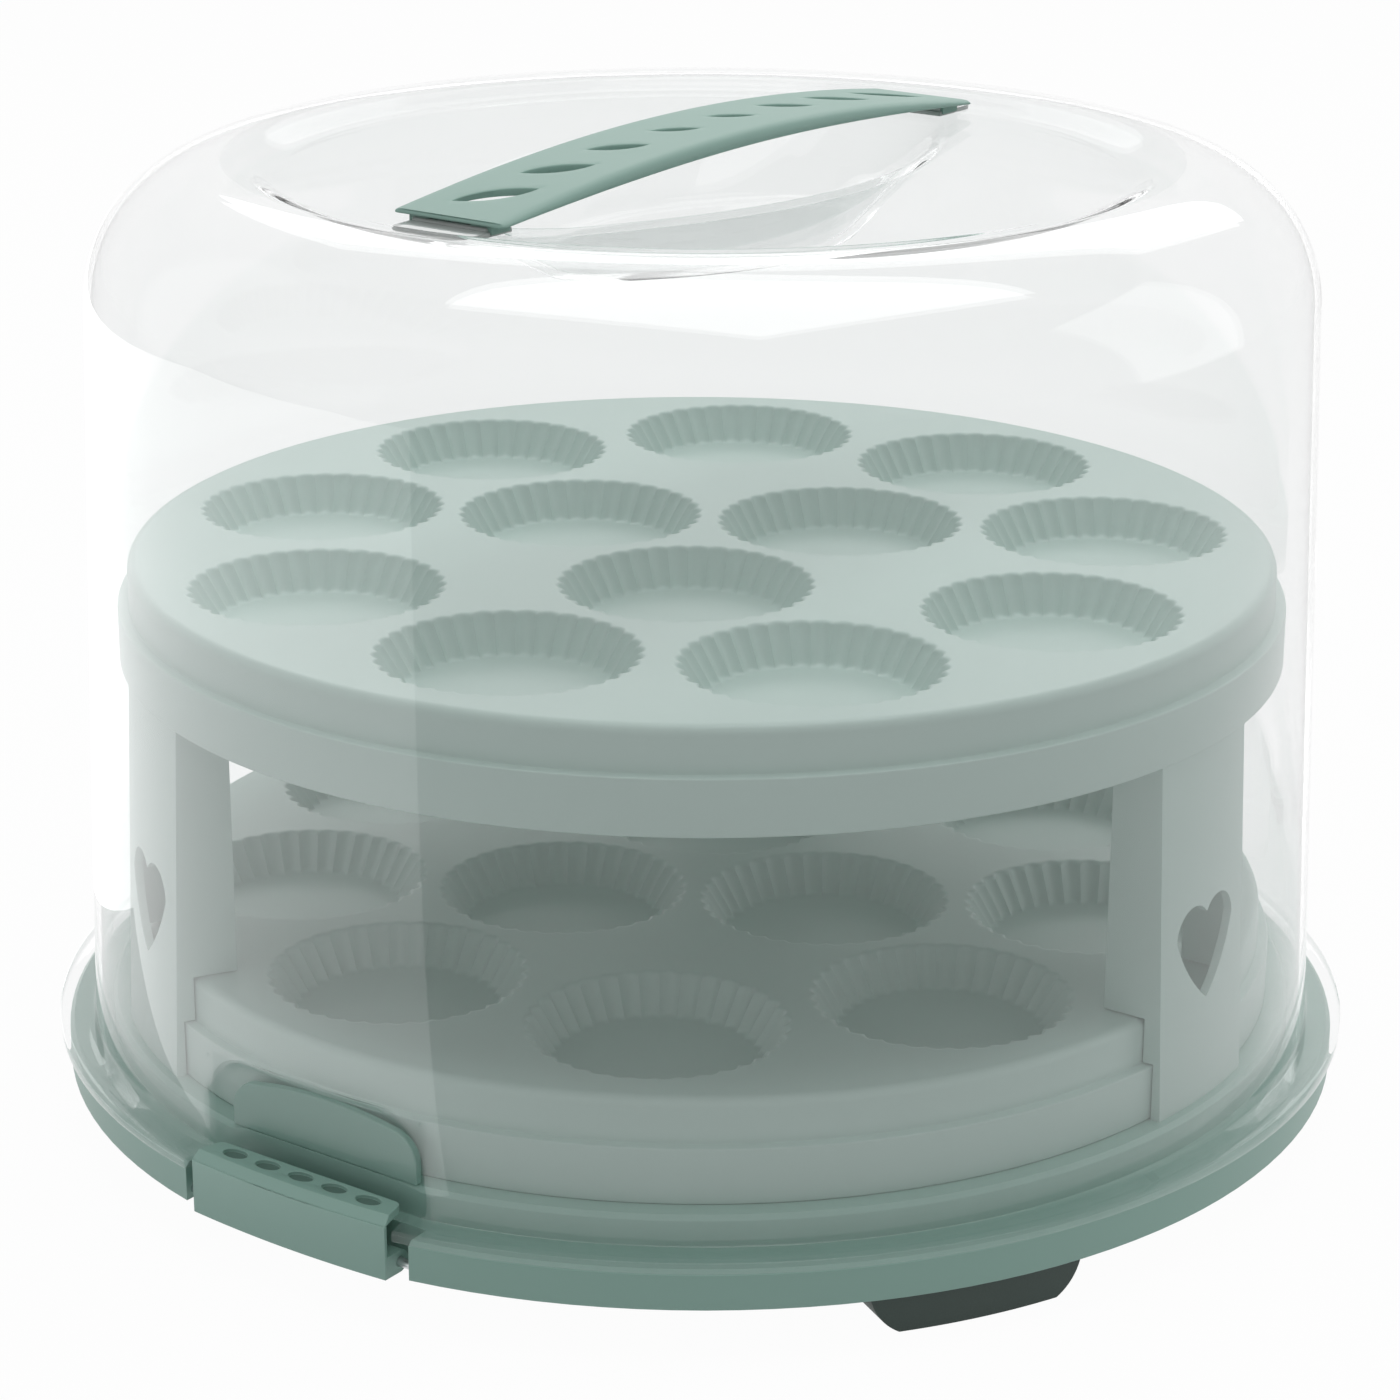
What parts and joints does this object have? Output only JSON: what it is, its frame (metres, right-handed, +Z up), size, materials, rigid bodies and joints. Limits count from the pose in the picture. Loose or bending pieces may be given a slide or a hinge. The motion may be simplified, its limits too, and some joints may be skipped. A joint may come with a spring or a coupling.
{
  "type": "cake keeper",
  "caption": "Round cake keeper: latched base, two stacked fluted cupcake trays on pillars, and a clear lift-off hood with a carrying handle.",
  "frame": {"origin": "bottom centre, on the floor under the middle of the base", "axes": "+Z up, one latch in front at -Y and its twin behind at +Y, the handle along Y"},
  "size_m": [0.35, 0.346, 0.2622],
  "materials": {
    "base": "satin",
    "foot": "matte",
    "latch": "satin",
    "pin": "bright",
    "tray": "satin",
    "pillar": "satin",
    "hood": "clear",
    "handle": "satin"
  },
  "bodies": {
    "base": {"base_plate": "base", "tab_front": "base", "tab_rear": "base", "foot_right_front": "foot", "foot_right_rear": "foot", "foot_left_rear": "foot", "foot_left_front": "foot", "pin_front": "pin", "pin_rear": "pin"},
    "front_latch": {"latch_front": "latch", "latch_arm_front": "latch"},
    "rear_latch": {"latch_rear": "latch", "latch_arm_rear": "latch"},
    "lower_tier": {"lower_tray": "tray", "pillar_right": "pillar", "pillar_left_rear": "pillar", "pillar_left_front": "pillar"},
    "upper_tier": {"upper_tray": "tray"},
    "hood": {"dome": "hood", "scoop": "hood", "flange_right": "hood", "flange_left": "hood", "flange_front": "hood", "flange_rear": "hood", "handle": "handle"}
  },
  "joints": [
    {"name": "front_latch_hinge", "type": "hinge", "parent": "base", "child": "front_latch", "pos_m": [0, -0.166, 0.0155], "axis": [1, 0, 0], "range_deg": [0, 105]},
    {"name": "rear_latch_hinge", "type": "hinge", "parent": "base", "child": "rear_latch", "pos_m": [0, 0.166, 0.0155], "axis": [-1, 0, 0], "range_deg": [0, 105]},
    {"name": "lower_tier_lift", "type": "slide", "parent": "base", "child": "lower_tier", "axis": [0, 0, 1], "range_m": [0, 0.04]},
    {"name": "upper_tray_lift", "type": "slide", "parent": "lower_tier", "child": "upper_tier", "axis": [0, 0, 1], "range_m": [0, 0.03]},
    {"name": "hood_lift", "type": "slide", "parent": "base", "child": "hood", "axis": [0, 0, 1], "range_m": [0, 0.3]}
  ]
}
